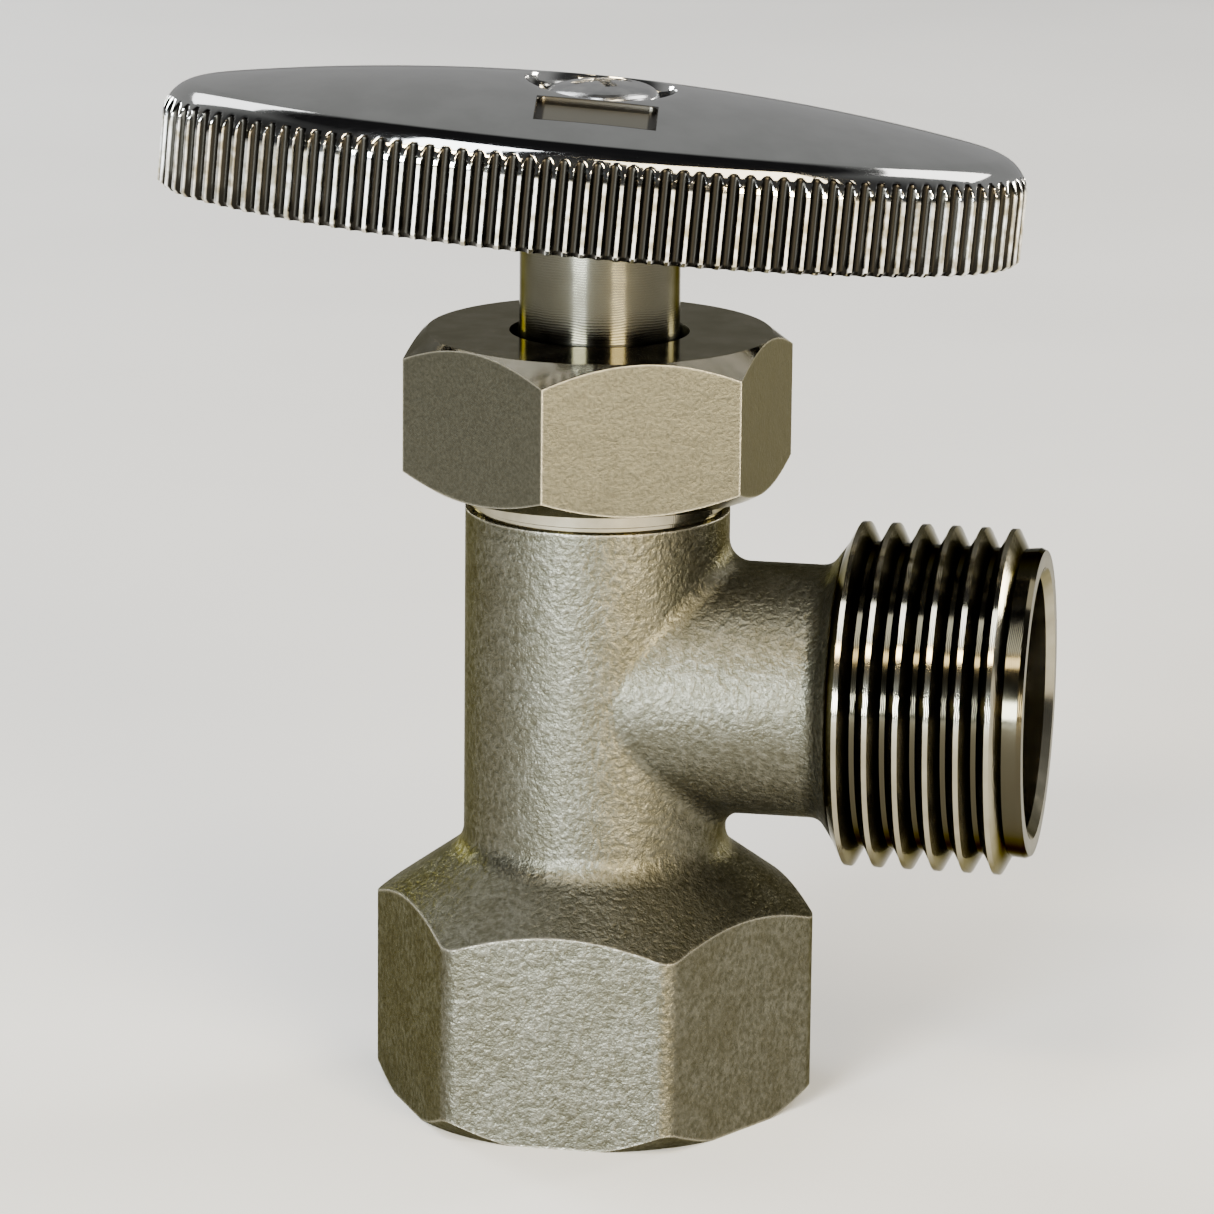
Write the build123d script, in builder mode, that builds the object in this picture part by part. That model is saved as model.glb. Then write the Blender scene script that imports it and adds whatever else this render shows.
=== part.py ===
from build123d import *
import math
import os

# Angle stop valve. Millimetres; +Z up the spindle, +X out of the outlet,
# Z = 0 on the inlet end face. Stored closed, with the handle cocked on its loose screw.

# Pipe threads G1/2, female inlet and male outlet
PIPE_PITCH = 1.814
PIPE_MAJOR_R = 20.955 / 2
PIPE_MINOR_R = 18.631 / 2
PIPE_CREST = 0.3
PIPE_ROOT = 0.3

# Forged body
HEX_AF = 24.0
HEX_CORNER_R = 1.5
SHOULDER_Z = 12.05
SHOULDER_SLOPE = 0.72
TUBE_R = 8.05
BAND_R = 7.9
BAND_Z = 37.45
BODY_TOP = 43.5
INLET_DEPTH = 11.6
PASSAGE_R = 4.25
PORT_R = 3.75
SEAT_Z = 21.5
CHAMBER_R = 6.2
CHAMBER_FLOOR = 19.8
CHAMBER_TOP = 30.5
BOX_R = 6.3
BOX_FLOOR = 37.5

# Outlet branch
OUTLET_Z = 26.3
NECK_R = 7.7
NECK_END = 14.3
THREAD_START = 15.45
MOUTH_X = 27.2
MOUTH_R = 9.4
OUTLET_BORE_R = 7.75
OUTLET_BORE_END = 17.5
WATERWAY_R = 3.9

# Spindle thread, 2 mm lead
LEAD = 2.0
SPINDLE_CREST_R = 5.95
SPINDLE_ROOT_R = 5.05
LEAD_BORE_R = 6.0

# Bonnet nut thread, M16 x 1
NUT_PITCH = 1.0
STUB_CREST_R = 7.93
STUB_ROOT_R = 7.42
NUT_CREST_R = 7.50
NUT_ROOT_R = 8.02
STUB_FIRST = 39.3
NUT_FIRST = STUB_FIRST + NUT_PITCH / 2

# Bonnet nut
NUT_AF = 21.0
NUT_BOTTOM = 38.75
NUT_TOP = 48.0
NUT_TURN = 24.5
NUT_HOLE_R = 5.45
NUT_ROOF = 46.3

# Spindle
SPINDLE_FOOT = 25.4
SPINDLE_THREAD = 26.0
NECK_SPINDLE_R = 4.85
NECK_TOP = 55.0
SQUARE_AF = 6.5
SPINDLE_TOP = 59.05

# Handle: oval dish, turned and cocked on the spindle's square
HANDLE_A = 26.0
HANDLE_B = 12.1
HANDLE_TURN = 8.7
HANDLE_COCK = 4.7
HANDLE_SHIFT = -0.3
ROCK_Z = 60.0
RIM_Z = 54.5
DOME_H = 8.6
CROWN_ALONG = 135.0
CROWN_ACROSS = 29.4
SHOULDER_R = 2.3
WALL = 1.7
TEETH = 124
TOOTH_DEPTH = 0.35
RECESS_R = 4.5
RECESS_FLOOR = 60.6
WEB_BOTTOM = 59.4
HUB_R = 6.4
HUB_BOTTOM = 56.0
SCREW_R = 1.95
CROWN_AXIS = Axis((0, 0, DOME_H - CROWN_ALONG), (0, 1, 0))

os.makedirs("parts", exist_ok=True)


def ridges(start, count, pitch, root_r, crest_r, crest, root):
    """Profile of a thread's ridges as (radius, height) pairs, from the first root upward."""
    flank = (pitch - crest - root) / 2
    profile = []
    for turn in range(count):
        low = start + turn * pitch
        profile += [
            (root_r, low),
            (crest_r, low + flank),
            (crest_r, low + flank + crest),
            (root_r, low + 2 * flank + crest),
        ]
    return profile


# ---------------------------------------------------------------- body
OUT = Axis((0, 0, OUTLET_Z), (1, 0, 0))
SHOULDER_TOP = SHOULDER_Z + (13.62 - TUBE_R) * SHOULDER_SLOPE

with BuildPart() as valve_body:
    # hexagonal inlet, chamfered below and coned above
    with BuildSketch(Plane.XY):
        RegularPolygon(HEX_AF / 2, 6, major_radius=False)
    extrude(amount=SHOULDER_TOP + 1)
    fillet(valve_body.edges().filter_by(Axis.Z), HEX_CORNER_R)
    with BuildSketch(Plane.XZ):
        with BuildLine():
            Polyline(
                (0, 0),
                (12.3, 0),
                (14.0, 1.55),
                (14.0, SHOULDER_Z - 0.38 * SHOULDER_SLOPE),
                (TUBE_R, SHOULDER_TOP),
                (0, SHOULDER_TOP),
                close=True,
            )
        make_face()
    revolve(axis=Axis.Z, mode=Mode.INTERSECT)
    # tube up to the nut, with a turned band, a relief and the stub for the nut's thread
    with BuildSketch(Plane.XZ):
        with BuildLine():
            Polyline(
                (0, SHOULDER_TOP - 2),
                (TUBE_R, SHOULDER_TOP - 2),
                (TUBE_R, BAND_Z - 0.3),
                (BAND_R - 0.25, BAND_Z - 0.2),
                (BAND_R - 0.25, BAND_Z),
                (BAND_R, BAND_Z + 0.1),
                (BAND_R, NUT_BOTTOM - 0.1),
                (BAND_R - 0.1, NUT_BOTTOM),
                (STUB_ROOT_R - 0.07, NUT_BOTTOM),
                *ridges(STUB_FIRST, 4, NUT_PITCH, STUB_ROOT_R, STUB_CREST_R, 0.2, 0.22),
                (STUB_ROOT_R - 0.1, BODY_TOP),
                (0, BODY_TOP),
                close=True,
            )
        make_face()
    revolve(axis=Axis.Z)
    # outlet branch: neck, flare, threaded length and turned-down lip at the mouth
    branch = ridges(THREAD_START, 6, PIPE_PITCH, PIPE_MINOR_R, PIPE_MAJOR_R, PIPE_CREST, PIPE_ROOT)
    with BuildSketch(Plane.XZ):
        with BuildLine():
            Polyline(
                (0, OUTLET_Z),
                (0, OUTLET_Z + NECK_R),
                (NECK_END, OUTLET_Z + NECK_R),
                *((along, OUTLET_Z + radius) for radius, along in branch),
                (MOUTH_X - 0.3, OUTLET_Z + MOUTH_R),
                (MOUTH_X, OUTLET_Z + MOUTH_R - 0.15),
                (MOUTH_X, OUTLET_Z),
                close=True,
            )
        make_face()
    revolve(axis=OUT)
    # blends where the tube meets the shoulder and the branch
    joins = valve_body.edges().filter_by(GeomType.CIRCLE)
    fillet(
        joins.filter_by(lambda e: abs(e.radius - TUBE_R) < 0.01).group_by(Axis.Z)[0], 2.0
    )
    fillet(
        valve_body.edges()
        .filter_by(GeomType.CIRCLE)
        .filter_by(lambda e: abs(e.radius - NECK_R) < 0.01 and e.center().X > 10),
        1.2,
    )
    saddle = valve_body.edges().filter_by(
        lambda e: e.geom_type not in (GeomType.CIRCLE, GeomType.LINE)
        and 1 < e.center().X < 9
        and 15 < e.center().Z < 36
    )
    fillet(saddle, 1.4)
    # inlet socket, port and raised seat
    with BuildSketch(Plane.XZ):
        with BuildLine():
            Polyline(
                (0, -1),
                (11.4, -1),
                (PIPE_MAJOR_R, 0.3),
                *ridges(0.9, 5, PIPE_PITCH, PIPE_MAJOR_R, PIPE_MINOR_R, PIPE_CREST, PIPE_ROOT),
                (PIPE_MAJOR_R, INLET_DEPTH),
                (8.5, INLET_DEPTH),
                (PASSAGE_R, INLET_DEPTH + 8.5 - PASSAGE_R),
                (PASSAGE_R, 18.5),
                (PORT_R, 19.0),
                (PORT_R, SEAT_Z + 1),
                (0, SEAT_Z + 1),
                close=True,
            )
        make_face()
    revolve(axis=Axis.Z, mode=Mode.SUBTRACT)
    # chamber round the seat lip, female lead thread and stuffing box
    with BuildSketch(Plane.XZ):
        with BuildLine():
            Polyline(
                (0, SEAT_Z),
                (4.4, SEAT_Z),
                (4.7, CHAMBER_FLOOR),
                (CHAMBER_R, CHAMBER_FLOOR),
                (CHAMBER_R, CHAMBER_TOP - 0.2),
                (LEAD_BORE_R, CHAMBER_TOP),
                (LEAD_BORE_R, BOX_FLOOR),
                (BOX_R, BOX_FLOOR),
                (BOX_R, BODY_TOP - 0.3),
                (BOX_R + 0.3, BODY_TOP),
                (BOX_R + 0.3, BODY_TOP + 1),
                (0, BODY_TOP + 1),
                close=True,
            )
        make_face()
    revolve(axis=Axis.Z, mode=Mode.SUBTRACT)
    # outlet waterway
    with BuildSketch(Plane.XZ):
        with BuildLine():
            Polyline(
                (2, OUTLET_Z),
                (2, OUTLET_Z + WATERWAY_R),
                (OUTLET_BORE_END - OUTLET_BORE_R + WATERWAY_R, OUTLET_Z + WATERWAY_R),
                (OUTLET_BORE_END, OUTLET_Z + OUTLET_BORE_R),
                (MOUTH_X - 0.5, OUTLET_Z + OUTLET_BORE_R),
                (MOUTH_X + 0.5, OUTLET_Z + OUTLET_BORE_R + 1),
                (MOUTH_X + 0.5, OUTLET_Z),
                close=True,
            )
        make_face()
    revolve(axis=OUT, mode=Mode.SUBTRACT)
valve_body.part.label = "valve_body"
export_step(valve_body.part, "parts/valve_body.step")

# ---------------------------------------------------------------- bonnet nut
with BuildPart() as bonnet_nut:
    with BuildSketch(Plane.XY.offset(NUT_BOTTOM)):
        RegularPolygon(NUT_AF / 2, 6, major_radius=False, rotation=NUT_TURN)
    extrude(amount=NUT_TOP - NUT_BOTTOM)
    with BuildSketch(Plane.XZ):
        with BuildLine():
            Polyline(
                (NUT_HOLE_R, NUT_TOP),
                (10.45, NUT_TOP),
                (12.3, NUT_TOP - 1.44),
                (12.3, NUT_BOTTOM + 1.16),
                (10.45, NUT_BOTTOM),
                (8.3, NUT_BOTTOM),
                (NUT_ROOT_R, NUT_BOTTOM + 0.2),
                *ridges(NUT_FIRST, 5, NUT_PITCH, NUT_ROOT_R, NUT_CREST_R, 0.2, 0.22),
                (NUT_ROOT_R, NUT_ROOF),
                (NUT_HOLE_R, NUT_ROOF),
                close=True,
            )
        make_face()
    revolve(axis=Axis.Z, mode=Mode.INTERSECT)
bonnet_nut.part.label = "bonnet_nut"
export_step(bonnet_nut.part, "parts/bonnet_nut.step")

# ---------------------------------------------------------------- packing set
with BuildPart() as packing_washer:
    with BuildSketch(Plane.XY.offset(BOX_FLOOR)):
        Circle(BOX_R - 0.1)
        Circle(NECK_SPINDLE_R + 0.08, mode=Mode.SUBTRACT)
    extrude(amount=0.8)
packing_washer.part.label = "packing_washer"
export_step(packing_washer.part, "parts/packing_washer.step")

RING_H = 1.3
for level, name in enumerate(("lower", "middle", "upper")):
    base = BOX_FLOOR + 0.8 + level * RING_H
    with BuildPart() as packing_ring:
        with BuildSketch(Plane.XY.offset(base)):
            Circle(BOX_R - 0.03)
            Circle(NECK_SPINDLE_R + 0.02, mode=Mode.SUBTRACT)
        extrude(amount=RING_H)
        chamfer(packing_ring.edges(), 0.12)
    packing_ring.part.label = f"packing_ring_{name}"
    export_step(packing_ring.part, f"parts/packing_ring_{name}.step")

GLAND_BOTTOM = BOX_FLOOR + 0.8 + 3 * RING_H
with BuildPart() as gland_follower:
    with BuildSketch(Plane.XZ):
        with BuildLine():
            Polyline(
                (NECK_SPINDLE_R + 0.08, GLAND_BOTTOM),
                (BOX_R - 0.1, GLAND_BOTTOM),
                (BOX_R - 0.1, 44.2),
                (7.2, 44.2),
                (7.2, NUT_ROOF),
                (6.2, NUT_ROOF),
                (6.2, 45.0),
                (NECK_SPINDLE_R + 0.08, 45.0),
                close=True,
            )
        make_face()
    revolve(axis=Axis.Z)
gland_follower.part.label = "gland_follower"
export_step(gland_follower.part, "parts/gland_follower.step")

with BuildPart() as spindle_o_ring:
    with BuildSketch(Plane.XZ):
        with Locations((NECK_SPINDLE_R + 0.66, 45.65)):
            Circle(0.64)
    revolve(axis=Axis.Z)
spindle_o_ring.part.label = "spindle_o_ring"
export_step(spindle_o_ring.part, "parts/spindle_o_ring.step")

# ---------------------------------------------------------------- spindle
with BuildPart() as spindle:
    with BuildSketch(Plane.XZ):
        with BuildLine():
            Polyline(
                (0, SPINDLE_FOOT),
                (SPINDLE_ROOT_R - 0.35, SPINDLE_FOOT),
                (SPINDLE_ROOT_R - 0.05, SPINDLE_FOOT + 0.3),
                *ridges(SPINDLE_THREAD, 4, LEAD, SPINDLE_ROOT_R, SPINDLE_CREST_R, 0.7, 0.82),
                (NECK_SPINDLE_R, SPINDLE_THREAD + 4 * LEAD),
                (NECK_SPINDLE_R, NECK_TOP - 0.5),
                (NECK_SPINDLE_R - 0.5, NECK_TOP),
                (0, NECK_TOP),
                close=True,
            )
        make_face()
    revolve(axis=Axis.Z)
    # squared drive end
    with BuildSketch(Plane.XY.offset(NECK_TOP)) as drive:
        Circle(4.25)
        Rectangle(SQUARE_AF, SQUARE_AF, rotation=HANDLE_TURN, mode=Mode.INTERSECT)
    extrude(amount=SPINDLE_TOP - NECK_TOP)
    chamfer(spindle.edges().group_by(Axis.Z)[-1], 0.3)
    # blind bores for the jumper's stem and the handle's screw
    with Locations(Location((0, 0, SPINDLE_FOOT), (180, 0, 0))):
        Hole(2.3, depth=6.6)
    with Locations((0, 0, SPINDLE_TOP)):
        Hole(SCREW_R + 0.05, depth=7.6)
spindle.part.label = "spindle"
export_step(spindle.part, "parts/spindle.step")

# ---------------------------------------------------------------- jumper and seat washer
with BuildPart() as jumper:
    with BuildSketch(Plane.XZ):
        with BuildLine():
            Polyline(
                (1.5, 23.5),
                (4.55, 23.5),
                (4.55, 22.6),
                (5.0, 22.6),
                (5.0, 24.8),
                (4.6, 25.2),
                (2.2, 25.2),
                (2.2, 29.6),
                (1.75, 29.6),
                (1.75, 30.2),
                (2.2, 30.2),
                (2.2, 31.0),
                (1.9, 31.3),
                (0, 31.3),
                (0, 28.6),
                (1.5, 28.6),
                close=True,
            )
        make_face()
    revolve(axis=Axis.Z)
jumper.part.label = "jumper"
export_step(jumper.part, "parts/jumper.step")

with BuildPart() as jumper_clip:
    with BuildSketch(Plane.XY.offset(29.65)):
        Circle(2.27)
        Circle(1.78, mode=Mode.SUBTRACT)
        with Locations((2, 0)):
            Rectangle(2, 0.9, mode=Mode.SUBTRACT)
    extrude(amount=0.5)
jumper_clip.part.label = "jumper_clip"
export_step(jumper_clip.part, "parts/jumper_clip.step")

with BuildPart() as seat_washer:
    with BuildSketch(Plane.XY.offset(SEAT_Z)):
        Circle(4.5)
        Circle(1.6, mode=Mode.SUBTRACT)
    extrude(amount=2.0)
    chamfer(seat_washer.edges().group_by(Axis.Z)[0].sort_by(SortBy.RADIUS)[-1], 0.1)
seat_washer.part.label = "seat_washer"
export_step(seat_washer.part, "parts/seat_washer.step")

with BuildPart() as washer_plate:
    with BuildSketch(Plane.XY.offset(SEAT_Z - 0.5)):
        Circle(3.1)
        Circle(1.6, mode=Mode.SUBTRACT)
    extrude(amount=0.5)
washer_plate.part.label = "washer_plate"
export_step(washer_plate.part, "parts/washer_plate.step")

with BuildPart() as washer_screw:
    with BuildSketch(Plane.XZ):
        with BuildLine():
            Polyline(
                (0, 19.4),
                (2.3, 19.4),
                (2.7, 19.9),
                (2.7, 21.0),
                (1.46, 21.0),
                (1.46, 28.2),
                (1.1, 28.5),
                (0, 28.5),
                close=True,
            )
        make_face()
    revolve(axis=Axis.Z)
    with BuildSketch(Plane.XY.offset(19.4)):
        Rectangle(6, 0.7)
    extrude(amount=0.8, mode=Mode.SUBTRACT)
washer_screw.part.label = "washer_screw"
export_step(washer_screw.part, "parts/washer_screw.step")

# ---------------------------------------------------------------- handle
# Built upright with its rim on Z = 0, then turned and cocked on the spindle's square.
with BuildPart() as crown:
    with BuildSketch(Plane.YZ):
        with Locations((0, DOME_H - CROWN_ACROSS)):
            Circle(CROWN_ACROSS)
        with Locations((0, 5)):
            Rectangle(30, 12, mode=Mode.INTERSECT)
    revolve(axis=CROWN_AXIS, revolution_arc=14)
    mirror(about=Plane.YZ)

with BuildPart() as cavity:
    with BuildSketch(Plane.XY.offset(-1)):
        Ellipse(HANDLE_A - 2, HANDLE_B - 2)
    extrude(amount=DOME_H)
    add(crown.part.moved(Location((0, 0, -WALL))), mode=Mode.INTERSECT)
    fillet(cavity.edges().group_by(Axis.Z)[-1], 1.2)

rim = Ellipse(HANDLE_A, HANDLE_B, mode=Mode.PRIVATE).edge()
outline = []
for tooth in range(TEETH):
    crest = rim @ (tooth / TEETH)
    along = rim % (tooth / TEETH)
    inward = Vector(-along.Y, along.X, 0)
    for step, depth in ((-0.32, -0.02), (-0.1, TOOTH_DEPTH), (0.1, TOOTH_DEPTH), (0.32, -0.02)):
        corner = crest + along * step + inward * depth
        outline.append((corner.X, corner.Y))

with BuildPart() as handle:
    with BuildSketch(Plane.XY):
        Ellipse(HANDLE_A, HANDLE_B)
    extrude(amount=DOME_H + 1)
    add(crown.part, mode=Mode.INTERSECT)
    fillet(handle.edges().group_by(Axis.Z)[-1], SHOULDER_R)
    fillet(handle.edges().group_by(Axis.Z)[0], 0.3)
    add(cavity.part, mode=Mode.SUBTRACT)
    # hub with the square socket, the screw's hole and recess, and the blank panel
    with BuildSketch(Plane.XY.offset(HUB_BOTTOM - RIM_Z)):
        Circle(HUB_R)
    extrude(amount=7.2 - (HUB_BOTTOM - RIM_Z))
    with BuildSketch(Plane.XY.offset(HUB_BOTTOM - RIM_Z)):
        Rectangle(7.86, 6.66)
    with BuildSketch(Plane.XY.offset(WEB_BOTTOM - RIM_Z)):
        Rectangle(7.3, 6.66)
    loft(mode=Mode.SUBTRACT)
    with BuildSketch(Plane.XY.offset(WEB_BOTTOM - RIM_Z)):
        Circle(2.35)
    extrude(amount=4, mode=Mode.SUBTRACT)
    with BuildSketch(Plane.XY.offset(RECESS_FLOOR - RIM_Z)):
        Circle(RECESS_R)
    extrude(amount=4, mode=Mode.SUBTRACT)
    with BuildSketch(Plane((0, -6.65, 7.5), x_dir=(1, 0, 0), z_dir=(0, -0.2, 1))):
        RectangleRounded(7.1, 3.2, 0.5)
    extrude(amount=2, mode=Mode.SUBTRACT)
    # serrations, which run out in scallops on the shoulder
    with BuildSketch(Plane.XY.offset(-0.1)):
        with BuildLine():
            Polyline(*outline, close=True)
        make_face()
    extrude(amount=DOME_H + 1, mode=Mode.INTERSECT)

seat = Location((0, 0, ROCK_Z), (0, 0, HANDLE_TURN)) * Location((0, 0, 0), (0, HANDLE_COCK, 0))
drop = Location((HANDLE_SHIFT, 0, RIM_Z - ROCK_Z))
handle_piece = handle.part.moved(seat * drop)
handle_piece.label = "handle"
export_step(handle_piece, "parts/handle.step")

# ---------------------------------------------------------------- handle screw and washer
with BuildPart() as handle_washer:
    with BuildSketch(Plane.XY.offset(RECESS_FLOOR + 0.3)):
        Circle(3.4)
        Circle(SCREW_R + 0.1, mode=Mode.SUBTRACT)
        with Locations((2.8, 0)):
            Rectangle(2.4, 0.5, rotation=20, mode=Mode.SUBTRACT)
    extrude(amount=0.6)
handle_washer.part.label = "handle_washer"
export_step(handle_washer.part, "parts/handle_washer.step")

HEAD_Z = RECESS_FLOOR + 0.9
with BuildPart() as handle_screw:
    with BuildSketch(Plane.XZ):
        with BuildLine():
            dome = Spline(
                (0, HEAD_Z + 1.75),
                (2.2, HEAD_Z + 1.5),
                (3.5, HEAD_Z + 0.5),
                tangents=((1, 0), (0.1, -1)),
            )
            Polyline(
                dome @ 1,
                (3.5, HEAD_Z),
                (SCREW_R, HEAD_Z),
                (SCREW_R, SPINDLE_TOP - 6.7),
                (SCREW_R - 0.4, SPINDLE_TOP - 7.1),
                (0, SPINDLE_TOP - 7.1),
                (0, HEAD_Z + 1.75),
            )
        make_face()
    revolve(axis=Axis.Z)
    with BuildSketch(Plane.XY.offset(HEAD_Z + 0.5)):
        Rectangle(3.6, 0.8, rotation=30)
        Rectangle(0.8, 3.6, rotation=30)
    extrude(amount=2, mode=Mode.SUBTRACT)
handle_screw.part.label = "handle_screw"
export_step(handle_screw.part, "parts/handle_screw.step")
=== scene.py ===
import math

import bmesh
import bpy
from mathutils import Matrix, Vector


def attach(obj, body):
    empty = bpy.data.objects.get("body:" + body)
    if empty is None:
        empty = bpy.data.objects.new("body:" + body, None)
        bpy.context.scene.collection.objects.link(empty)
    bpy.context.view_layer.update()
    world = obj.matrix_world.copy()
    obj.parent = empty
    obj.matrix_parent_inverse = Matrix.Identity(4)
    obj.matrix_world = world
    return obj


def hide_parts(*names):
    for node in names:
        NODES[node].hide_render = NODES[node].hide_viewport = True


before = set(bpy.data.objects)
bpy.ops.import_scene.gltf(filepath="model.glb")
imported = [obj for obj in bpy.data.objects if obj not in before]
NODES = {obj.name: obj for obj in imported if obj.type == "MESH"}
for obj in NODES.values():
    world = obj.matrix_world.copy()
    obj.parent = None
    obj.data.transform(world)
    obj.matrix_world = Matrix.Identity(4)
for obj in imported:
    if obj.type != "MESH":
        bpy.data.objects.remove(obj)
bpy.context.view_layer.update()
MM = 0.001

# Millimetres in the valve's frame: where the body's machined zones begin and end
OUTLET_Z = 26.3
OUTLET_THREAD_X = (15.2, 15.5)
STUB_Z = (37.1, 37.25)
SOCKET_RADIUS = (11.9, 11.6)
SOCKET_MOUTH_Z = (12.5, 12.2)
THREAD_CREST_FADE = (10.35, 9.5)
THREAD_BORE_FADE = (8.6, 9.2)

# Photograph's viewpoint: azimuth from -Y towards +X, elevation, roll, distance and aim point
VIEW_AZIMUTH = math.radians(10.42)
VIEW_ELEVATION = math.radians(13.88)
VIEW_ROLL = math.radians(0.58)
VIEW_DISTANCE = 372.0 * MM
AIM = Vector((0.61, 0.11, 30.8)) * MM
LENS = 181.0


def direction(azimuth, elevation):
    """Unit vector towards an azimuth (radians, from -Y towards +X) and elevation."""
    flat = math.cos(elevation)
    return Vector((math.sin(azimuth) * flat, -math.cos(azimuth) * flat, math.sin(elevation)))


# ---------------------------------------------------------------- camera
def add_camera():
    """Camera at the photograph's viewpoint."""
    back = direction(VIEW_AZIMUTH, VIEW_ELEVATION)
    right = Vector((0, 0, 1)).cross(back).normalized()
    up = back.cross(right)
    rolled = Matrix.Rotation(VIEW_ROLL, 3, back)
    right, up = rolled @ right, rolled @ up
    camera = bpy.data.objects.new("camera", bpy.data.cameras.new("camera"))
    camera.data.lens = LENS
    camera.data.sensor_width = 36
    camera.data.clip_start = 0.01
    turned = Matrix((right, up, back)).transposed().to_4x4()
    camera.matrix_world = Matrix.Translation(AIM + back * VIEW_DISTANCE) @ turned
    bpy.context.scene.collection.objects.link(camera)
    bpy.context.scene.camera = camera


add_camera()


# ---------------------------------------------------------------- light and floor
def add_area_light(name, azimuth, elevation, distance, size, watts, colour):
    """A soft rectangular lamp at (azimuth, elevation) degrees, aimed at the valve."""
    lamp = bpy.data.lights.new(name, "AREA")
    lamp.shape = "RECTANGLE"
    lamp.size, lamp.size_y = size
    lamp.energy = watts
    lamp.color = colour
    away = direction(math.radians(azimuth), math.radians(elevation))
    holder = bpy.data.objects.new(name, lamp)
    holder.location = AIM + away * distance
    holder.rotation_euler = away.to_track_quat("Z", "Y").to_euler()
    bpy.context.scene.collection.objects.link(holder)


add_area_light("cool_low", -18, 7, 0.62, (0.20, 0.13), 10.0, (0.86, 0.94, 1.0))
add_area_light("cool_high", -16, 62, 0.62, (0.12, 0.30), 1.4, (0.92, 0.96, 1.0))
add_area_light("warm_low", 37, 8, 0.62, (0.20, 0.15), 7.4, (1.0, 0.84, 0.56))
add_area_light("warm_high", 41, 54, 0.62, (0.24, 0.26), 1.6, (1.0, 0.85, 0.58))
add_area_light("warm_tips", -13, 42, 0.62, (0.20, 0.08), 2.2, (1.0, 0.82, 0.52))
add_area_light("left_fill", -124, 48, 0.90, (0.40, 0.40), 2.2, (0.97, 0.99, 1.0))
add_area_light("right_fill", 122, 48, 0.90, (0.40, 0.40), 2.6, (1.0, 0.98, 0.95))
add_area_light("back_left", -130, 9, 0.70, (0.16, 0.14), 3.2, (0.95, 0.98, 1.0))
add_area_light("back_right", 135, 9, 0.70, (0.16, 0.14), 3.2, (1.0, 0.95, 0.85))


# The room's greys: at its lowest, at the top of the wall, overhead and towards the viewer.
# Places in it are parts of a unit direction: Z for height, Y for depth.
ROOM_LOW = (0.36, 0.36, 0.36, 1)
ROOM_WALL = (0.30, 0.305, 0.30, 1)
ROOM_OVERHEAD = (0.012, 0.012, 0.013, 1)
ROOM_FRONT = (0.014, 0.014, 0.015, 1)
WALL_ENDS = 0.84
OVERHEAD_STARTS = 0.91
FRONT_TO_BACK = (-0.35, 0.35)
FRONT_SHARE = 0.1


def add_world():
    """Room round the valve: mid-grey wall behind it, darker towards the viewer and overhead."""
    world = bpy.data.worlds.new("room")
    bpy.context.scene.world = world
    world.use_nodes = True
    nodes, links = world.node_tree.nodes, world.node_tree.links
    nodes.clear()
    out = nodes.new("ShaderNodeOutputWorld")
    background = nodes.new("ShaderNodeBackground")
    coords = nodes.new("ShaderNodeTexCoord")
    split = nodes.new("ShaderNodeSeparateXYZ")
    links.new(coords.outputs["Generated"], split.inputs[0])
    height = nodes.new("ShaderNodeValToRGB")
    height.color_ramp.elements[0].position = 0.0
    height.color_ramp.elements[0].color = ROOM_LOW
    height.color_ramp.elements[1].position = OVERHEAD_STARTS
    height.color_ramp.elements[1].color = ROOM_OVERHEAD
    middle = height.color_ramp.elements.new(WALL_ENDS)
    middle.color = ROOM_WALL
    links.new(split.outputs["Z"], height.inputs[0])
    depth = nodes.new("ShaderNodeMapRange")
    depth.interpolation_type = "SMOOTHSTEP"
    depth.inputs["From Min"].default_value = FRONT_TO_BACK[0]
    depth.inputs["From Max"].default_value = FRONT_TO_BACK[1]
    depth.inputs["To Min"].default_value = FRONT_SHARE
    depth.inputs["To Max"].default_value = 1.0
    links.new(split.outputs["Y"], depth.inputs["Value"])
    dim = nodes.new("ShaderNodeMix")
    dim.data_type = "RGBA"
    dim.inputs[6].default_value = ROOM_FRONT
    links.new(depth.outputs[0], dim.inputs[0])
    links.new(height.outputs[0], dim.inputs[7])
    links.new(dim.outputs[2], background.inputs["Color"])
    background.inputs["Strength"].default_value = 1.0
    links.new(background.outputs[0], out.inputs[0])


add_world()


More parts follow.
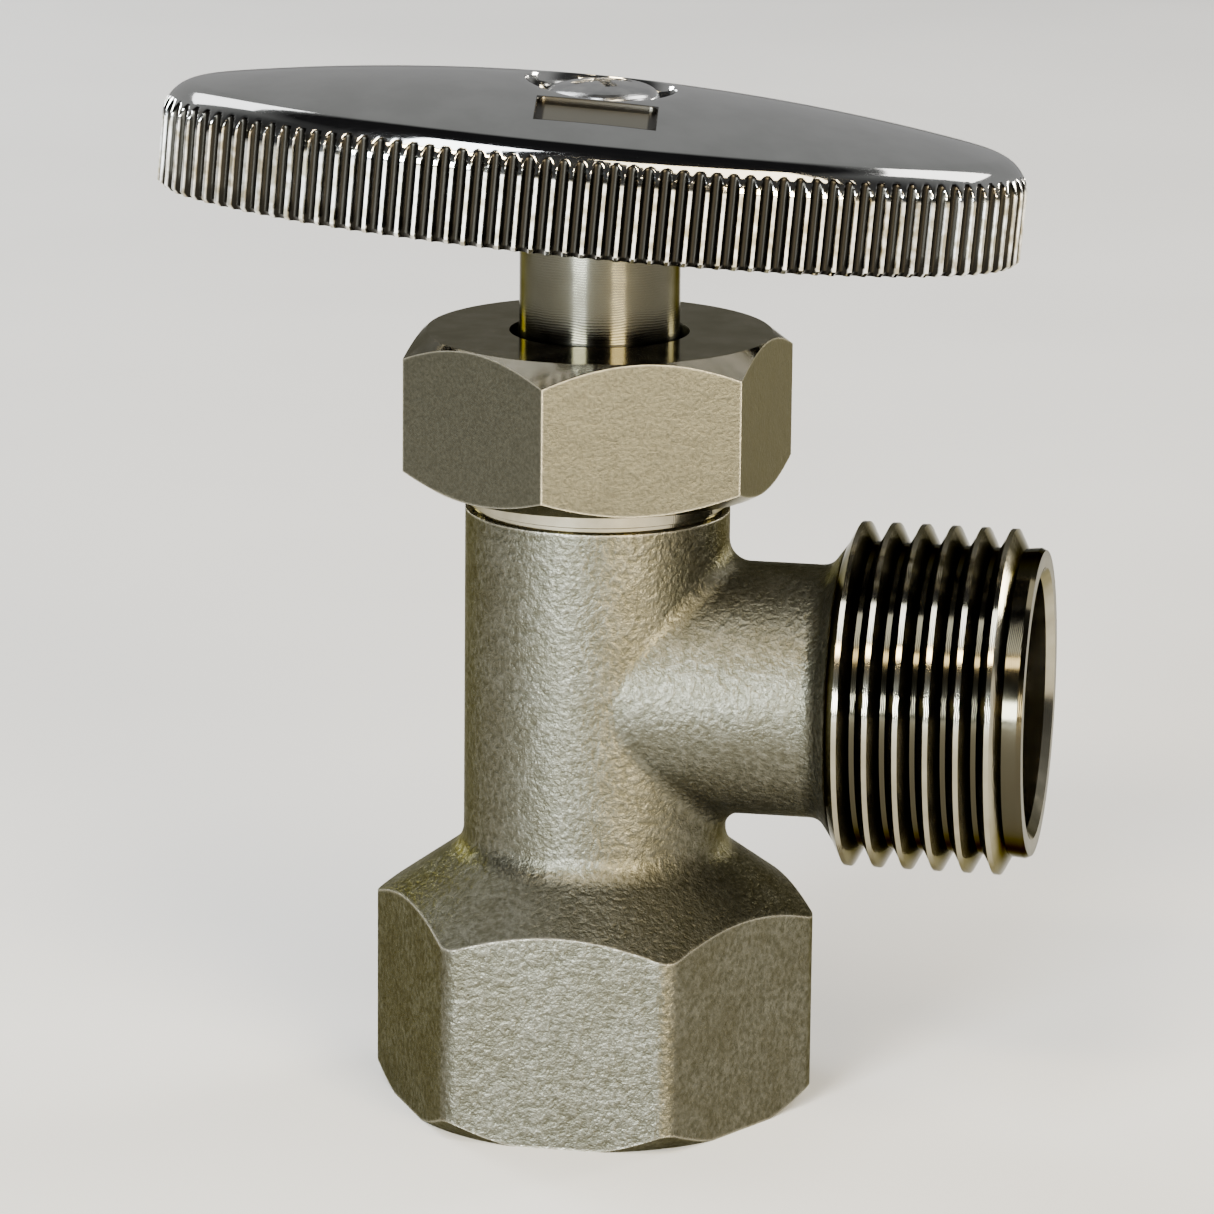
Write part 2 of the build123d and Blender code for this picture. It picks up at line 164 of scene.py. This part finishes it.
# ---------------------------------------------------------------- material tools
class Look:
    """A procedural material whose textures are laid out in millimetres of the object's own frame."""

    def __init__(self, name, metallic=1.0):
        self.material = bpy.data.materials.new(name)
        self.material.use_nodes = True
        self.tree = self.material.node_tree
        self.shader = self.tree.nodes["Principled BSDF"]
        self.shader.inputs["Metallic"].default_value = metallic
        coords = self.add("ShaderNodeTexCoord")
        scaled = self.add("ShaderNodeVectorMath", operation="SCALE")
        scaled.inputs["Scale"].default_value = 1 / MM
        self.link(coords.outputs["Object"], scaled.inputs[0])
        self.place = scaled.outputs[0]
        self.facing = coords.outputs["Normal"]
        split = self.add("ShaderNodeSeparateXYZ")
        self.link(self.place, split.inputs[0])
        self.x, self.y, self.z = split.outputs
        self.bumps = None

    def add(self, kind, **settings):
        """A new node of that kind, with those properties set."""
        node = self.tree.nodes.new(kind)
        for key, value in settings.items():
            setattr(node, key, value)
        return node

    def link(self, source, target):
        """Joins an output socket to an input socket."""
        self.tree.links.new(source, target)

    def maths(self, operation, a, b=None):
        """A Math node's result; a and b are numbers or sockets."""
        node = self.add("ShaderNodeMath", operation=operation)
        for value, socket in ((a, node.inputs[0]), (b, node.inputs[1])):
            if isinstance(value, (int, float)):
                socket.default_value = value
            elif value is not None:
                self.link(value, socket)
        return node.outputs[0]

    def noise(self, size, detail=2.0, roughness=0.5, stretch=None):
        """Noise from 0 to 1 with features of about that size in millimetres."""
        node = self.add("ShaderNodeTexNoise")
        node.inputs["Scale"].default_value = 1 / size
        node.inputs["Detail"].default_value = detail
        node.inputs["Roughness"].default_value = roughness
        place = self.place
        if stretch:
            mapping = self.add("ShaderNodeMapping")
            mapping.inputs["Scale"].default_value = stretch
            self.link(self.place, mapping.inputs["Vector"])
            place = mapping.outputs[0]
        self.link(place, node.inputs["Vector"])
        return node.outputs[0]

    def step(self, value, start, end, low=0.0, high=1.0):
        """Smooth change from low to high as value goes from start to end."""
        node = self.add("ShaderNodeMapRange", interpolation_type="SMOOTHSTEP")
        node.inputs["From Min"].default_value = start
        node.inputs["From Max"].default_value = end
        node.inputs["To Min"].default_value = low
        node.inputs["To Max"].default_value = high
        self.link(value, node.inputs["Value"])
        return node.outputs[0]

    def mix(self, factor, a, b):
        """Colour a where factor is 0 and b where it is 1; each is a colour or a socket."""
        node = self.add("ShaderNodeMix", data_type="RGBA")
        self.link(factor, node.inputs[0])
        for value, socket in ((a, node.inputs[6]), (b, node.inputs[7])):
            if isinstance(value, tuple):
                socket.default_value = (*value, 1)
            else:
                self.link(value, socket)
        return node.outputs[2]

    def blend(self, factor, a, b):
        """Number a where factor is 0 and b where it is 1; each is a number or a socket."""
        node = self.add("ShaderNodeMix", data_type="FLOAT")
        self.link(factor, node.inputs[0])
        for value, socket in ((a, node.inputs[2]), (b, node.inputs[3])):
            if isinstance(value, (int, float)):
                socket.default_value = value
            else:
                self.link(value, socket)
        return node.outputs[0]

    def bump(self, height, depth):
        """Raises the surface by height (0 to 1) times depth in millimetres."""
        node = self.add("ShaderNodeBump")
        node.inputs["Distance"].default_value = depth * MM
        node.inputs["Strength"].default_value = 1.0
        self.link(height, node.inputs["Height"])
        if self.bumps:
            self.link(self.bumps, node.inputs["Normal"])
        self.bumps = node.outputs[0]

    def finish(self, colour, roughness):
        """Joins the colour, roughness and bumps to the shader and gives the material."""
        self.link(colour, self.shader.inputs["Base Color"])
        self.link(roughness, self.shader.inputs["Roughness"])
        if self.bumps:
            self.link(self.bumps, self.shader.inputs["Normal"])
        return self.material

    def radius(self, a, b):
        """Distance from the axis that the coordinates a and b are measured from."""
        squares = self.maths("ADD", self.maths("MULTIPLY", a, a), self.maths("MULTIPLY", b, b))
        return self.maths("SQRT", squares)

    def edge_highlight_mask(self, reach):
        """Mask for painted edge highlights: 1 within about reach millimetres of a sharp edge, outer
        or inner, and 0 on the faces.
        """
        bevel = self.add("ShaderNodeBevel", samples=4)
        bevel.inputs["Radius"].default_value = reach * MM
        geometry = self.add("ShaderNodeNewGeometry")
        turn = self.add("ShaderNodeVectorMath", operation="DOT_PRODUCT")
        self.link(bevel.outputs[0], turn.inputs[0])
        self.link(geometry.outputs["Normal"], turn.inputs[1])
        return self.step(turn.outputs["Value"], 0.995, 0.94)

    def rings(self, along, spacing):
        """Tool marks: a wave along a coordinate, unevenly spaced."""
        wander = self.maths("MULTIPLY", self.noise(2.5), 0.5)
        phase = self.maths("MULTIPLY", self.maths("ADD", along, wander), 2 * math.pi / spacing)
        return self.maths("MULTIPLY_ADD", self.maths("SINE", phase), 0.5)


# ---------------------------------------------------------------- materials
def blasted_plate():
    """Blasted and nickel-plated forging: machined zones bright, thread roots darkened with painted
    shade, edges with painted highlights.
    """
    look = Look("blasted_nickel")
    look.shader.inputs["Specular Tint"].default_value = (0.32, 0.31, 0.25, 1)
    edge = look.edge_highlight_mask(0.28)
    from_axis = look.radius(look.x, look.y)
    outlet = look.step(look.x, *OUTLET_THREAD_X)
    band = look.step(look.z, *STUB_Z)
    inside = look.step(from_axis, *SOCKET_RADIUS)
    socket = look.maths("MULTIPLY", inside, look.step(look.z, *SOCKET_MOUTH_Z))
    turned = look.maths("MAXIMUM", look.maths("MAXIMUM", outlet, band), socket)
    rough_skin = look.maths("SUBTRACT", 1.0, turned)
    grain = look.noise(0.38, 3, 0.6)
    fleck = look.noise(0.17, 2, 0.6)
    cloud = look.noise(2.6, 4, 0.6)
    skin = look.mix(look.step(grain, 0.30, 0.72), (0.070, 0.068, 0.049), (0.135, 0.132, 0.105))
    skin = look.mix(look.step(cloud, 0.35, 0.7, 0.0, 0.5), skin, (0.068, 0.063, 0.041))
    # Painted highlight: sharp edges, outer and inner, lightened towards a pale grey.
    skin = look.mix(look.maths("MULTIPLY", edge, 0.75), skin, (0.42, 0.40, 0.33))
    bright = look.mix(look.step(cloud, 0.3, 0.7), (0.27, 0.25, 0.185), (0.36, 0.335, 0.26))
    # Painted shade: the outlet thread's roots, between crest and bore, darkened almost to black.
    from_outlet = look.radius(look.y, look.maths("SUBTRACT", look.z, OUTLET_Z))
    below_crest = look.step(from_outlet, *THREAD_CREST_FADE)
    thread_root_shade = look.maths("MULTIPLY", below_crest, look.step(from_outlet, *THREAD_BORE_FADE))
    bright = look.mix(thread_root_shade, bright, (0.05, 0.045, 0.03))
    look.bump(look.maths("MULTIPLY", grain, rough_skin), 0.09)
    look.bump(look.maths("MULTIPLY", fleck, rough_skin), 0.022)
    look.bump(look.maths("MULTIPLY", look.rings(look.x, 0.11), turned), 0.0012)
    skin_roughness = look.step(fleck, 0.3, 0.7, 0.34, 0.48)
    roughness = look.blend(turned, skin_roughness, look.step(cloud, 0.3, 0.7, 0.10, 0.17))
    return look.finish(look.mix(turned, skin, bright), roughness)


def satin_nut():
    """Nut with finely blasted flats, bright turned chamfers and top, and painted highlights on its
    sharp edges.
    """
    look = Look("satin_nickel")
    look.shader.inputs["Specular Tint"].default_value = (0.50, 0.48, 0.40, 1)
    edge = look.edge_highlight_mask(0.22)
    split = look.add("ShaderNodeSeparateXYZ")
    look.link(look.facing, split.inputs[0])
    turned = look.step(look.maths("ABSOLUTE", split.outputs[2]), 0.12, 0.3)
    grain = look.noise(0.22, 3, 0.6)
    cloud = look.noise(2.4, 4, 0.6)
    skin = look.mix(look.step(grain, 0.3, 0.7), (0.059, 0.057, 0.043), (0.084, 0.082, 0.062))
    # Painted highlight: sharp edges, outer and inner, lightened towards a pale grey.
    skin = look.mix(look.maths("MULTIPLY", edge, 0.8), skin, (0.44, 0.42, 0.34))
    bright = look.mix(look.step(cloud, 0.3, 0.7), (0.26, 0.254, 0.215), (0.364, 0.35, 0.305))
    rough_skin = look.maths("SUBTRACT", 1.0, turned)
    look.bump(look.maths("MULTIPLY", grain, rough_skin), 0.02)
    look.bump(look.maths("MULTIPLY", look.noise(1.8, 3), rough_skin), 0.03)
    skin_roughness = look.step(grain, 0.3, 0.7, 0.32, 0.42)
    roughness = look.blend(turned, skin_roughness, look.step(cloud, 0.3, 0.7, 0.10, 0.18))
    return look.finish(look.mix(turned, skin, bright), roughness)


def turned_nickel():
    """Plated lathe work: fine marks round the Z axis that draw highlights out along it."""
    look = Look("turned_nickel")
    look.shader.inputs["Specular Tint"].default_value = (0.35, 0.34, 0.29, 1)
    cloud = look.noise(3.0, 3, 0.55)
    look.shader.inputs["Anisotropic"].default_value = 0.85
    look.shader.inputs["Anisotropic Rotation"].default_value = 0.25
    tangent = look.add("ShaderNodeTangent", direction_type="RADIAL", axis="Z")
    look.link(tangent.outputs[0], look.shader.inputs["Tangent"])
    look.bump(look.rings(look.z, 0.16), 0.002)
    colour = look.mix(look.step(cloud, 0.3, 0.7), (0.070, 0.067, 0.050), (0.098, 0.0945, 0.0735))
    return look.finish(colour, look.step(cloud, 0.3, 0.7, 0.16, 0.24))


def handle_chrome():
    """Polished handle plating: satin on the panel, painted near-black shade in the serrations'
    grooves, painted glints on the serrated wall.
    """
    look = Look("polished_chrome")
    groove = look.add("ShaderNodeAttribute", attribute_name="groove").outputs["Fac"]
    cloud = look.noise(4.0, 3, 0.55)
    hairs = look.noise(0.12, 2, 0.5, stretch=(0.06, 1, 1))
    look.bump(look.noise(5.0, 2), 0.012)
    look.bump(hairs, 0.0005)
    half_x, half_y = PANEL[0] / 2, PANEL[1] / 2
    from_side = look.maths("ABSOLUTE", look.x)
    across = look.step(from_side, half_x + PANEL_RIM[0], half_x + PANEL_RIM[1])
    from_middle = look.maths("ABSOLUTE", look.maths("SUBTRACT", look.y, PANEL_AT.y))
    along = look.step(from_middle, half_y + PANEL_RIM[0], half_y + PANEL_RIM[1])
    upper = look.step(look.z, *PANEL_ABOVE_Z)
    panel = look.maths("MULTIPLY", look.maths("MULTIPLY", across, along), upper)
    inner_across = look.step(from_side, half_x - PANEL_FRAME[0], half_x - PANEL_FRAME[1])
    inner_along = look.step(from_middle, half_y - PANEL_FRAME[0], half_y - PANEL_FRAME[1])
    inner = look.maths("MULTIPLY", inner_across, inner_along)
    plate = look.mix(inner, (0.06, 0.055, 0.045), (0.36, 0.34, 0.28))
    colour = look.mix(look.step(cloud, 0.3, 0.7), (0.60, 0.60, 0.59), (0.67, 0.67, 0.66))
    colour = look.mix(panel, colour, plate)
    # Painted glints: random bright and dull patches on the serrated wall below the rim stand in for
    # the serrations' sparkle.
    patches = look.step(look.noise(0.8, 3), 0.35, 0.65)
    ridge_glint_patches = look.mix(patches, (0.34, 0.31, 0.23), (0.86, 0.86, 0.84))
    colour = look.mix(look.step(look.z, *RIM_BELOW_Z), colour, ridge_glint_patches)
    # Painted shade: the serrations' grooves darkened to near-black, the more so the deeper the
    # groove.
    colour = look.mix(look.step(groove, 0.02, 0.4), colour, (0.012, 0.011, 0.009))
    roughness = look.blend(panel, look.step(hairs, 0.3, 0.75, 0.05, 0.09), 0.3)
    return look.finish(colour, look.blend(groove, roughness, 0.3))


def turned_metal(name, dark, light, rough):
    """Unplated turned metal with tool marks."""
    look = Look(name)
    cloud = look.noise(1.6, 4, 0.6)
    look.bump(look.rings(look.z, 0.14), 0.003)
    colour = look.mix(look.step(cloud, 0.3, 0.7), dark, light)
    return look.finish(colour, look.step(cloud, 0.3, 0.7, rough[0], rough[1]))


def soft_solid(name, dark, light, rough, grain_size, depth):
    """Rubber or plastic with a fine moulded grain."""
    look = Look(name, metallic=0.0)
    grain = look.noise(grain_size, 3, 0.6)
    look.bump(grain, depth)
    colour = look.mix(look.step(grain, 0.3, 0.7), dark, light)
    return look.finish(colour, look.step(grain, 0.3, 0.7, rough[0], rough[1]))


def floor_paint():
    """Matt pale paint."""
    look = Look("pale_floor", metallic=0.0)
    cloud = look.noise(60.0, 3, 0.5)
    colour = look.mix(look.step(cloud, 0.3, 0.7), (0.86, 0.86, 0.86), (0.89, 0.89, 0.89))
    return look.finish(colour, look.step(cloud, 0.3, 0.7, 0.75, 0.85))


def add_floor():
    """Plain round floor under the valve."""
    mesh = bpy.data.meshes.new("floor")
    disc = bmesh.new()
    bmesh.ops.create_circle(disc, cap_ends=True, segments=96, radius=6.0)
    disc.to_mesh(mesh)
    disc.free()
    floor = bpy.data.objects.new("floor", mesh)
    floor.data.materials.append(floor_paint())
    bpy.context.scene.collection.objects.link(floor)


add_floor()

# ---------------------------------------------------------------- handle
# Millimetres in the handle's own frame: X along the oval, rim on Z = 0, screw on the Z axis
OVAL = (26.0, 12.1)
CAVITY = (24.0, 10.1)
CROWN_TOP = 8.6
CROWN_ALONG = 135.0
CROWN_ACROSS = 29.4
SHOULDER_R = 2.3
WALL = 1.7
TEETH = 124
TOOTH_SAMPLES = 10
TOOTH_DEPTH = 0.35
RECESS_R = 4.5
RECESS_FLOOR = 6.1
SCREW_HOLE_R = 2.35
HUB_R = 6.4
HUB_BOTTOM = 1.5
SOCKET_TOP = 4.9
SOCKET_ACROSS = 6.66
SOCKET_HALF_TOP = 3.65
SOCKET_HALF_MOUTH = 3.93
PANEL = (7.1, 3.5)
PANEL_AT = Vector((0, -6.55, 7.5))
PANEL_SLOPE = math.atan(0.2)
PANEL_ROUND_R = 0.5
# Where the colours change: outside the panel's edge, inside it, above it in Z and on the rim in Z
PANEL_RIM = (0.09, 0.03)
PANEL_FRAME = (0.40, 0.55)
PANEL_ABOVE_Z = (6.4, 6.6)
RIM_BELOW_Z = (5.6, 5.0)
SHARP_ANGLE = math.radians(38)
HANDLE_SEAT = (
    Matrix.Translation((0, 0, 60.0))
    @ Matrix.Rotation(math.radians(8.7), 4, "Z")
    @ Matrix.Rotation(math.radians(4.7), 4, "Y")
    @ Matrix.Translation((-0.3, 0, -5.5))
)


def crown_height(x, y):
    """Height of the doubly curved top over the point (x, y)."""
    reach = CROWN_ALONG - CROWN_ACROSS + math.sqrt(CROWN_ACROSS**2 - y * y)
    return CROWN_TOP - CROWN_ALONG + math.sqrt(reach**2 - x * x)


def oval_stations():
    """Evenly spaced stations round the oval: (point, inward direction), by arc length."""
    fine = 8000
    corners = []
    for i in range(fine + 1):
        angle = 2 * math.pi * i / fine
        corners.append(Vector((OVAL[0] * math.cos(angle), OVAL[1] * math.sin(angle))))
    run = [0.0]
    for before, after in zip(corners, corners[1:]):
        run.append(run[-1] + (after - before).length)
    stations = []
    index = 0
    count = TEETH * TOOTH_SAMPLES
    for station in range(count):
        goal = run[-1] * station / count
        while run[index + 1] < goal:
            index += 1
        share = (goal - run[index]) / (run[index + 1] - run[index])
        point = corners[index].lerp(corners[index + 1], share)
        inward = -Vector((point.x / OVAL[0] ** 2, point.y / OVAL[1] ** 2)).normalized()
        stations.append((point, inward))
    return stations


def groove_depth(station):
    """Depth of the serration at a station: a ridge's flat top, then sides that curve to the floor."""
    phase = (station % TOOTH_SAMPLES) / TOOTH_SAMPLES
    from_ridge = min(phase, 1 - phase)
    rise = min(1.0, max(0.0, (from_ridge - 0.12) / 0.3))
    return TOOTH_DEPTH * rise * (2 - rise)


def box_corner(angle, half_x, half_y):
    """Point at a polar angle on a rectangle's outline."""
    tiny = 1e-6
    to_side = half_x / max(abs(math.cos(angle)), tiny)
    to_end = half_y / max(abs(math.sin(angle)), tiny)
    reach = min(to_side, to_end)
    return (reach * math.cos(angle), reach * math.sin(angle))


def handle_column(station, point, inward):
    """Closed profile of the handle at one station: (x, y, z, groove) from the screw hole round."""
    groove = groove_depth(station)
    angle = math.atan2(point.y, point.x)
    ray = Vector((math.cos(angle), math.sin(angle)))

    def ring(radius, z):
        return (ray.x * radius, ray.y * radius, z, 0.0)

    cavity = Vector((point.x * CAVITY[0] / OVAL[0], point.y * CAVITY[1] / OVAL[1]))
    # Inside: screw hole, square socket, hub, underside of the crown, wall and rim
    column = [ring(SCREW_HOLE_R, RECESS_FLOOR), ring(SCREW_HOLE_R, SOCKET_TOP)]
    column.append((*box_corner(angle, SOCKET_HALF_TOP, SOCKET_ACROSS / 2), SOCKET_TOP, 0.0))
    column.append((*box_corner(angle, SOCKET_HALF_MOUTH, SOCKET_ACROSS / 2), HUB_BOTTOM, 0.0))
    column.append(ring(HUB_R - 0.2, HUB_BOTTOM))
    column.append(ring(HUB_R, HUB_BOTTOM + 0.2))
    for share in (0.0, 0.15, 0.4, 0.7, 0.93):
        under = (ray * HUB_R).lerp(cavity, share)
        column.append((under.x, under.y, crown_height(under.x, under.y) - WALL, 0.0))
    corner = crown_height(cavity.x, cavity.y) - WALL
    column.append((*(cavity * 0.985), corner - 0.25, 0.0))
    for z in (corner - 0.9, 2.0, 0.3):
        column.append((cavity.x, cavity.y, z, 0.0))
    column.append((*(cavity - inward * 0.25), 0.02, 0.0))
    lip = point + inward * (groove + 0.3)
    share_cut = groove / TOOTH_DEPTH
    column.append((lip.x, lip.y, 0.0, share_cut))

    # Outside: serrated wall, shoulder arc, crown and screw recess
    span = 2.0
    inner = point + inward * span
    slope = math.atan((crown_height(inner.x, inner.y) - crown_height(point.x, point.y)) / span)
    inset = SHOULDER_R * (1 - math.sin(slope))
    touch = point + inward * inset
    centre = crown_height(touch.x, touch.y) - SHOULDER_R * math.cos(slope)
    wall = point + inward * groove
    column.append((wall.x, wall.y, 0.3, share_cut))
    for share in (0.3, 0.55, 0.8, 0.95):
        column.append((wall.x, wall.y, centre * share, share_cut))
    arc_rows = 20
    for row in range(arc_rows + 1):
        lean = (math.pi / 2 - slope) * row / arc_rows
        depth = SHOULDER_R * (1 - math.cos(lean))
        spot = point + inward * max(depth, groove)
        shade = share_cut if groove > depth else 0.0
        column.append((spot.x, spot.y, centre + SHOULDER_R * math.sin(lean), shade))
    for share in (0.04, 0.1, 0.18, 0.28, 0.4, 0.52, 0.64, 0.76, 0.87, 0.95, 1.0):
        spot = touch.lerp(ray * (RECESS_R + 0.25), share)
        column.append((spot.x, spot.y, crown_height(spot.x, spot.y), 0.0))
    edge = crown_height(ray.x * RECESS_R, ray.y * RECESS_R)
    column += [ring(RECESS_R + 0.08, edge - 0.04), ring(RECESS_R, edge - 0.2)]
    column += [ring(RECESS_R, RECESS_FLOOR + 0.2), ring(RECESS_R - 0.2, RECESS_FLOOR)]
    return column


def panel_cutter():
    """Rounded block that presses the blank panel into the crown."""
    block = bmesh.new()
    half_x, half_y = PANEL[0] / 2, PANEL[1] / 2
    outline = []
    for turn in range(4):
        centre = Vector((half_x - PANEL_ROUND_R, half_y - PANEL_ROUND_R))
        if turn in (1, 2):
            centre.x = -centre.x
        if turn in (2, 3):
            centre.y = -centre.y
        for step in range(7):
            angle = math.pi / 2 * (turn + step / 6)
            x = centre.x + PANEL_ROUND_R * math.cos(angle)
            outline.append((x, centre.y + PANEL_ROUND_R * math.sin(angle)))
    rings = []
    for grow, z in ((0.0, 0.0), (0.0, 0.25), (0.9, 2.0)):
        wide, deep = 1 + grow / half_x, 1 + grow / half_y
        rings.append([block.verts.new((x * wide, y * deep, z)) for x, y in outline])
    for lower, upper in zip(rings, rings[1:]):
        for i in range(len(outline)):
            j = (i + 1) % len(outline)
            block.faces.new((lower[i], lower[j], upper[j], upper[i]))
    block.faces.new(list(reversed(rings[0])))
    block.faces.new(rings[-1])
    block.transform(Matrix.Translation(PANEL_AT) @ Matrix.Rotation(PANEL_SLOPE, 4, "X"))
    mesh = bpy.data.meshes.new("panel_cutter")
    block.to_mesh(mesh)
    block.free()
    cutter = bpy.data.objects.new("panel_cutter", mesh)
    bpy.context.scene.collection.objects.link(cutter)
    return cutter


def handle_mesh():
    """The handle's closed mesh in millimetres, with each point's groove depth as an attribute."""
    columns = [handle_column(i, point, inward) for i, (point, inward) in enumerate(oval_stations())]
    rows = len(columns[0])
    count = len(columns)
    mesh = bpy.data.meshes.new("handle_casting")
    verts = [spot[:3] for column in columns for spot in column]
    faces = []
    for i in range(count):
        j = (i + 1) % count
        for row in range(rows):
            up = (row + 1) % rows
            faces.append((i * rows + row, j * rows + row, j * rows + up, i * rows + up))
    mesh.from_pydata(verts, [], faces)
    shade = mesh.attributes.new("groove", "FLOAT", "POINT")
    shade.data.foreach_set("value", [spot[3] for column in columns for spot in column])
    return mesh


def add_handle(finish):
    """The cast handle, in its own frame scaled to metres, with the panel pressed into it."""
    blank = bpy.data.objects.new("handle_blank", handle_mesh())
    bpy.context.scene.collection.objects.link(blank)
    cutter = panel_cutter()
    press = blank.modifiers.new("panel", "BOOLEAN")
    press.operation = "DIFFERENCE"
    press.solver = "EXACT"
    press.object = cutter
    graph = bpy.context.evaluated_depsgraph_get()
    mesh = bpy.data.meshes.new_from_object(blank.evaluated_get(graph))
    bpy.data.objects.remove(blank)
    bpy.data.objects.remove(cutter)
    mesh.transform(Matrix.Scale(MM, 4))
    mesh.shade_smooth()
    mesh.set_sharp_from_angle(angle=SHARP_ANGLE)
    mesh.materials.clear()
    mesh.materials.append(finish)
    handle = bpy.data.objects.new("handle_casting", mesh)
    bpy.context.scene.collection.objects.link(handle)
    seat = HANDLE_SEAT.copy()
    seat.translation *= MM
    handle.matrix_world = seat
    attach(handle, "handle")
    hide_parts("handle")


NICKEL = turned_nickel()
STEEL = turned_metal("stainless", (0.55, 0.55, 0.56), (0.70, 0.70, 0.70), (0.16, 0.26))
BRASS = turned_metal("bare_brass", (0.58, 0.40, 0.15), (0.76, 0.57, 0.26), (0.22, 0.34))
PTFE = soft_solid("ptfe", (0.78, 0.77, 0.73), (0.86, 0.85, 0.81), (0.45, 0.6), 0.3, 0.01)
RUBBER = soft_solid("black_rubber", (0.018, 0.018, 0.018), (0.04, 0.04, 0.04), (0.5, 0.7), 0.2, 0.015)

FINISHES = {
    "valve_body": blasted_plate(),
    "bonnet_nut": satin_nut(),
    "packing_washer": BRASS,
    "packing_ring_lower": PTFE,
    "packing_ring_middle": PTFE,
    "packing_ring_upper": PTFE,
    "gland_follower": BRASS,
    "spindle_o_ring": RUBBER,
    "jumper": BRASS,
    "jumper_clip": STEEL,
    "seat_washer": RUBBER,
    "washer_plate": STEEL,
    "washer_screw": STEEL,
    "spindle": NICKEL,
    "handle_washer": STEEL,
    "handle_screw": STEEL,
}
for name, finish in FINISHES.items():
    node = NODES[name]
    node.data.materials.clear()
    node.data.materials.append(finish)

add_handle(handle_chrome())
